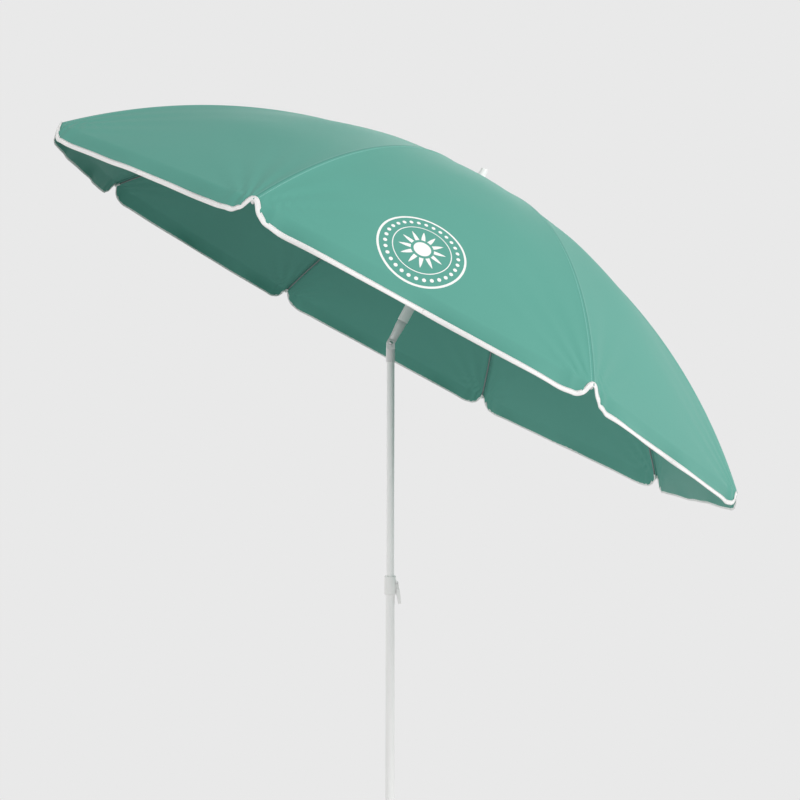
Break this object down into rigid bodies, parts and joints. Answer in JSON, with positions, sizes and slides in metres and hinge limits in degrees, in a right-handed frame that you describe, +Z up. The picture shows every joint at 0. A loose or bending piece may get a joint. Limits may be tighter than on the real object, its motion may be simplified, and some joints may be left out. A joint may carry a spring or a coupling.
{
  "type": "beach umbrella",
  "caption": "Tilting beach umbrella: a teal ribbed canopy with white piping on a folding crown, a push-button tilt joint and a telescoping white pole with a flip clamp and ground spike.",
  "frame": {"origin": "point of the ground spike, on the pole's axis", "axes": "+Z up the pole; +X the way the canopy leans; +Y square to both, along the tilt pin"},
  "size_m": [1.5069, 1.7098, 2.1667],
  "materials": {
    "canopy_fabric": "woven polyester, satin",
    "pole_paint": "white powder coat on steel tube",
    "white_plastic": "moulded white plastic",
    "joint_metal": "light grey die casting",
    "rib_steel": "grey lacquered spring wire",
    "bright_steel": "zinc plated steel"
  },
  "bodies": {
    "lower_pole": {"lower_pole": "pole_paint", "ground_spike": "white_plastic", "clamp_collar": "white_plastic", "clamp_pin": "bright_steel"},
    "clamp_lever": {"clamp_lever": "white_plastic"},
    "upper_pole": {"upper_pole": "pole_paint", "pole_bush": "white_plastic", "tilt_fork": "joint_metal", "tilt_pin": "bright_steel", "button_spring": "bright_steel"},
    "tilt_button": {"tilt_button": "white_plastic"},
    "mast": {"mast_tube": "pole_paint", "tilt_head": "joint_metal", "crown": "white_plastic", "crown_ring": "bright_steel", "ferrule": "white_plastic"},
    "runner_catch": {"runner_catch": "bright_steel"},
    "runner": {"runner": "white_plastic"},
    "rib_1": {"rib_1": "rib_steel", "rib_tip_1": "white_plastic", "rib_bracket_1": "bright_steel", "canopy_sector_1": "canopy_fabric"},
    "rib_2": {"rib_2": "rib_steel", "rib_tip_2": "white_plastic", "rib_bracket_2": "bright_steel", "canopy_sector_2": "canopy_fabric"},
    "rib_3": {"rib_3": "rib_steel", "rib_tip_3": "white_plastic", "rib_bracket_3": "bright_steel", "canopy_sector_3": "canopy_fabric"},
    "rib_4": {"rib_4": "rib_steel", "rib_tip_4": "white_plastic", "rib_bracket_4": "bright_steel", "canopy_sector_4": "canopy_fabric"},
    "rib_5": {"rib_5": "rib_steel", "rib_tip_5": "white_plastic", "rib_bracket_5": "bright_steel", "canopy_sector_5": "canopy_fabric"},
    "rib_6": {"rib_6": "rib_steel", "rib_tip_6": "white_plastic", "rib_bracket_6": "bright_steel", "canopy_sector_6": "canopy_fabric"},
    "rib_7": {"rib_7": "rib_steel", "rib_tip_7": "white_plastic", "rib_bracket_7": "bright_steel", "canopy_sector_7": "canopy_fabric"},
    "rib_8": {"rib_8": "rib_steel", "rib_tip_8": "white_plastic", "rib_bracket_8": "bright_steel", "canopy_sector_8": "canopy_fabric"},
    "stretcher_1": {"stretcher_1": "bright_steel"},
    "stretcher_2": {"stretcher_2": "bright_steel"},
    "stretcher_3": {"stretcher_3": "bright_steel"},
    "stretcher_4": {"stretcher_4": "bright_steel"},
    "stretcher_5": {"stretcher_5": "bright_steel"},
    "stretcher_6": {"stretcher_6": "bright_steel"},
    "stretcher_7": {"stretcher_7": "bright_steel"},
    "stretcher_8": {"stretcher_8": "bright_steel"}
  },
  "joints": [
    {"name": "height", "type": "slide", "parent": "lower_pole", "child": "upper_pole", "axis": [0, 0, 1], "range_m": [-0.48, 0.1]},
    {"name": "clamp_lever_flip", "type": "hinge", "parent": "lower_pole", "child": "clamp_lever", "pos_m": [0.0156, 0, 1.0553], "axis": [0, -1, 0], "range_deg": [0, 105]},
    {"name": "tilt_button_press", "type": "slide", "parent": "upper_pole", "child": "tilt_button", "axis": [0, -1, 0], "range_m": [0, 0.0025], "stiffness_N_per_m": 1200, "springref_m": -0.001, "deforming": ["button_spring"]},
    {"name": "tilt", "type": "hinge", "parent": "upper_pole", "child": "mast", "pos_m": [0, 0, 1.64], "axis": [0, 1, 0], "range_deg": [-28.2, 11.8]},
    {"name": "canopy_fold", "type": "hinge", "parent": "mast", "child": "rib_1", "pos_m": [0.22275, 0.00708, 2.01926], "axis": [-0.3373, 0.9239, 0.1808], "range_deg": [0, 60], "deforming": ["canopy_sector_1", "canopy_sector_2", "canopy_sector_3", "canopy_sector_4", "canopy_sector_5", "canopy_sector_6", "canopy_sector_7", "canopy_sector_8"]},
    {"name": "runner_slide", "type": "slide", "parent": "mast", "child": "runner", "axis": [0.4726, 0, 0.8813], "range_m": [-0.23271, 0]},
    {"name": "catch_press", "type": "slide", "parent": "mast", "child": "runner_catch", "axis": [0, 1, 0], "range_m": [0, 0.0035], "stiffness_N_per_m": 400, "springref_m": -0.002, "deforming": ["runner_catch"]},
    {"name": "stretcher_1_swing", "type": "hinge", "parent": "rib_1", "child": "stretcher_1", "pos_m": [0.36279, 0.07883, 1.91385], "axis": [-0.3373, 0.9239, 0.1808], "range_deg": [-97.05, 0]},
    {"name": "rib_2_fold", "type": "hinge", "parent": "mast", "child": "rib_2", "pos_m": [0.21393, 0.01709, 2.02399], "axis": [-0.8142, 0.3827, 0.4366], "range_deg": [0, 60]},
    {"name": "stretcher_2_swing", "type": "hinge", "parent": "rib_2", "child": "stretcher_2", "pos_m": [0.26454, 0.19032, 1.96653], "axis": [-0.8142, 0.3827, 0.4366], "range_deg": [-97.05, 0]},
    {"name": "rib_3_fold", "type": "hinge", "parent": "mast", "child": "rib_3", "pos_m": [0.20145, 0.01709, 2.03068], "axis": [-0.8142, -0.3827, 0.4366], "range_deg": [0, 60]},
    {"name": "stretcher_3_swing", "type": "hinge", "parent": "rib_3", "child": "stretcher_3", "pos_m": [0.12558, 0.19032, 2.04104], "axis": [-0.8142, -0.3827, 0.4366], "range_deg": [-97.05, 0]},
    {"name": "rib_4_fold", "type": "hinge", "parent": "mast", "child": "rib_4", "pos_m": [0.19262, 0.00708, 2.03541], "axis": [-0.3373, -0.9239, 0.1808], "range_deg": [0, 60]},
    {"name": "stretcher_4_swing", "type": "hinge", "parent": "rib_4", "child": "stretcher_4", "pos_m": [0.02733, 0.07883, 2.09372], "axis": [-0.3373, -0.9239, 0.1808], "range_deg": [-97.05, 0]},
    {"name": "rib_5_fold", "type": "hinge", "parent": "mast", "child": "rib_5", "pos_m": [0.19262, -0.00708, 2.03541], "axis": [0.3373, -0.9239, -0.1808], "range_deg": [0, 60]},
    {"name": "stretcher_5_swing", "type": "hinge", "parent": "rib_5", "child": "stretcher_5", "pos_m": [0.02733, -0.07883, 2.09372], "axis": [0.3373, -0.9239, -0.1808], "range_deg": [-97.05, 0]},
    {"name": "rib_6_fold", "type": "hinge", "parent": "mast", "child": "rib_6", "pos_m": [0.20145, -0.01709, 2.03068], "axis": [0.8142, -0.3827, -0.4366], "range_deg": [0, 60]},
    {"name": "stretcher_6_swing", "type": "hinge", "parent": "rib_6", "child": "stretcher_6", "pos_m": [0.12558, -0.19032, 2.04104], "axis": [0.8142, -0.3827, -0.4366], "range_deg": [-97.05, 0]},
    {"name": "rib_7_fold", "type": "hinge", "parent": "mast", "child": "rib_7", "pos_m": [0.21393, -0.01709, 2.02399], "axis": [0.8142, 0.3827, -0.4366], "range_deg": [0, 60]},
    {"name": "stretcher_7_swing", "type": "hinge", "parent": "rib_7", "child": "stretcher_7", "pos_m": [0.26454, -0.19032, 1.96653], "axis": [0.8142, 0.3827, -0.4366], "range_deg": [-97.05, 0]},
    {"name": "rib_8_fold", "type": "hinge", "parent": "mast", "child": "rib_8", "pos_m": [0.22275, -0.00708, 2.01926], "axis": [0.3373, 0.9239, -0.1808], "range_deg": [0, 60]},
    {"name": "stretcher_8_swing", "type": "hinge", "parent": "rib_8", "child": "stretcher_8", "pos_m": [0.36279, -0.07883, 1.91385], "axis": [0.3373, 0.9239, -0.1808], "range_deg": [-97.05, 0]}
  ],
  "couplings": [
    {"joint": "runner_slide", "follows": "canopy_fold", "m_per_rad": -0.22126},
    {"joint": "stretcher_1_swing", "follows": "canopy_fold", "ratio": -1.6008},
    {"joint": "rib_2_fold", "follows": "canopy_fold", "ratio": 1},
    {"joint": "stretcher_2_swing", "follows": "canopy_fold", "ratio": -1.6008},
    {"joint": "rib_3_fold", "follows": "canopy_fold", "ratio": 1},
    {"joint": "stretcher_3_swing", "follows": "canopy_fold", "ratio": -1.6008},
    {"joint": "rib_4_fold", "follows": "canopy_fold", "ratio": 1},
    {"joint": "stretcher_4_swing", "follows": "canopy_fold", "ratio": -1.6008},
    {"joint": "rib_5_fold", "follows": "canopy_fold", "ratio": 1},
    {"joint": "stretcher_5_swing", "follows": "canopy_fold", "ratio": -1.6008},
    {"joint": "rib_6_fold", "follows": "canopy_fold", "ratio": 1},
    {"joint": "stretcher_6_swing", "follows": "canopy_fold", "ratio": -1.6008},
    {"joint": "rib_7_fold", "follows": "canopy_fold", "ratio": 1},
    {"joint": "stretcher_7_swing", "follows": "canopy_fold", "ratio": -1.6008},
    {"joint": "rib_8_fold", "follows": "canopy_fold", "ratio": 1},
    {"joint": "stretcher_8_swing", "follows": "canopy_fold", "ratio": -1.6008}
  ]
}
